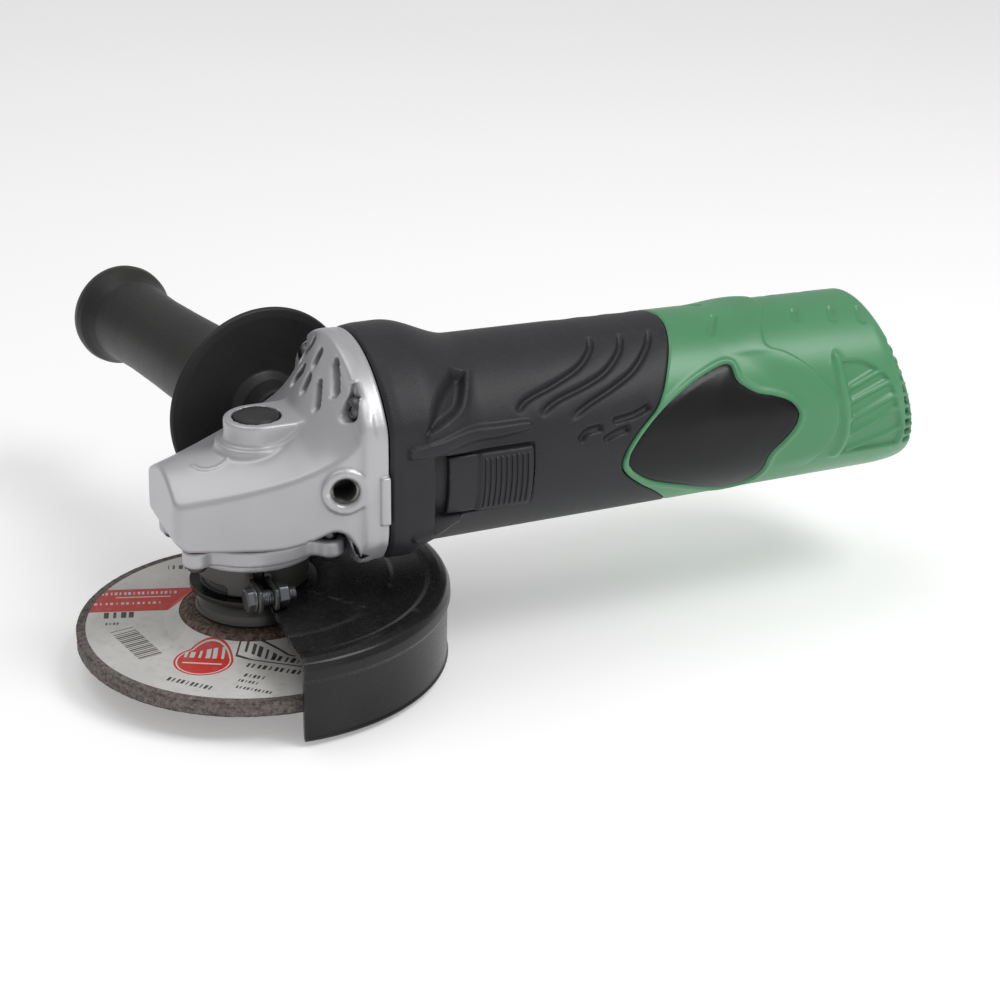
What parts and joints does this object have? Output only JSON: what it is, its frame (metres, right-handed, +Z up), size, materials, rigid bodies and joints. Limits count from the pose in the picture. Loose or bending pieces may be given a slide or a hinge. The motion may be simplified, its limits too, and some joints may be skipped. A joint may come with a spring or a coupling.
{
  "type": "angle grinder",
  "caption": "Mains angle grinder with a slide switch, side handle, adjustable wheel guard, bevel gear drive and a depressed-centre wheel.",
  "frame": {"origin": "centre of the spindle's free end, below the wheel nut", "axes": "+X from the nose to the tail along the motor, +Y to the side handle, +Z up along the spindle"},
  "size_m": [0.2879, 0.222, 0.1072],
  "materials": {
    "cast_silver": "satin silver paint on a die casting",
    "black_plastic": "fine moulded texture",
    "button_plastic": "fine moulded texture",
    "grip_plastic": "fine leather-like grain, glossier rim",
    "green_plastic": "satin moulded plastic",
    "badge_plastic": "glossy, plain",
    "guard_paint": "satin black paint",
    "dark_steel": "turned, oiled black finish",
    "steel": "machined",
    "zinc_steel": "zinc plated",
    "gear_steel": "hardened and ground",
    "spring_steel": "drawn wire",
    "bronze": "sintered",
    "brass": "stamped sheet",
    "copper": "enamelled wire",
    "laminations": "stacked sheet steel",
    "felt": "felt",
    "rubber": "soft rubber",
    "abrasive": "bonded grit with glass mesh",
    "label_paper": null,
    "carbon": "pressed carbon",
    "light_plastic": "plain moulded",
    "film": "wrapped film"
  },
  "bodies": {
    "casing": {"gear_case": "cast_silver", "case_screws": "zinc_steel", "bearing_cover": "cast_silver", "cover_screws": "zinc_steel", "spindle_bearing_outer": "steel", "spindle_bush": "bronze", "spindle_seal": "felt", "lock_spring": "spring_steel", "motor_housing": "black_plastic", "front_bearing_outer": "steel", "rear_bearing_outer": "steel", "rear_bearing_sleeve": "rubber", "bearing_retainer": "zinc_steel", "retainer_screws": "zinc_steel", "fan_guide": "black_plastic", "stator_core": "laminations", "stator_coils": "copper", "stator_screws": "zinc_steel", "brush_holders": "brass", "carbon_brushes": "carbon", "brush_springs": "spring_steel", "switch_body": "black_plastic", "terminal_block": "light_plastic", "suppressor": "film", "cord_clamp": "black_plastic", "cord_clamp_screws": "zinc_steel", "cord_bush": "rubber", "tail_cover": "green_plastic", "tail_screw": "zinc_steel", "badge_near": "badge_plastic", "badge_far": "badge_plastic"},
    "armature": {"armature_shaft": "steel", "armature_core": "laminations", "armature_windings": "copper", "commutator": "copper", "fan": "black_plastic", "pinion": "gear_steel", "pinion_nut": "zinc_steel", "front_bearing_inner": "steel", "rear_bearing_inner": "steel"},
    "spindle_set": {"spindle": "steel", "ring_gear": "gear_steel", "spindle_bearing_inner": "steel", "inner_flange": "dark_steel", "wheel": "abrasive", "wheel_label": "label_paper", "wheel_bush": "zinc_steel", "wheel_nut": "dark_steel"},
    "guard_set": {"guard": "guard_paint", "guard_clamp": "dark_steel", "guard_clamp_screw": "zinc_steel", "guard_clamp_nut": "zinc_steel"},
    "side_handle": {"handle_grip": "grip_plastic", "handle_stud": "zinc_steel"},
    "lock_set": {"lock_button": "button_plastic", "lock_pin": "steel"},
    "switch_slide": {"switch_knob": "black_plastic", "slide_bar": "black_plastic"},
    "switch_rocker": {"switch_lever": "light_plastic"}
  },
  "joints": [
    {"name": "armature_spin", "type": "hinge", "parent": "casing", "child": "armature", "pos_m": [0.087, 0, 0.063], "axis": [1, 0, 0], "continuous": true},
    {"name": "spindle_spin", "type": "hinge", "parent": "casing", "child": "spindle_set", "pos_m": [0, 0, 0.03], "axis": [0, 0, 1], "continuous": true},
    {"name": "guard_turn", "type": "hinge", "parent": "casing", "child": "guard_set", "pos_m": [0, 0, 0.03], "axis": [0, 0, 1], "range_deg": [-90, 90]},
    {"name": "handle_turn", "type": "hinge", "parent": "casing", "child": "side_handle", "pos_m": [0.02775, 0, 0.063], "axis": [-0.2036, 0.979, 0], "continuous": true},
    {"name": "lock_press", "type": "slide", "parent": "casing", "child": "lock_set", "axis": [0, 0, -1], "range_m": [0, 0.003], "stiffness_N_per_m": 600, "springref_m": -0.003, "deforming": ["lock_spring"]},
    {"name": "switch_slide_on", "type": "slide", "parent": "casing", "child": "switch_slide", "axis": [-1, 0, 0], "range_m": [0, 0.005]},
    {"name": "switch_rock", "type": "hinge", "parent": "casing", "child": "switch_rocker", "pos_m": [0.16855, -0.0149, 0.063], "axis": [0, 0, -1], "range_deg": [0, 30]}
  ],
  "couplings": [
    {"joint": "spindle_spin", "follows": "armature_spin", "ratio": 0.31707},
    {"joint": "switch_rock", "follows": "switch_slide_on", "rad_per_m": 100}
  ]
}
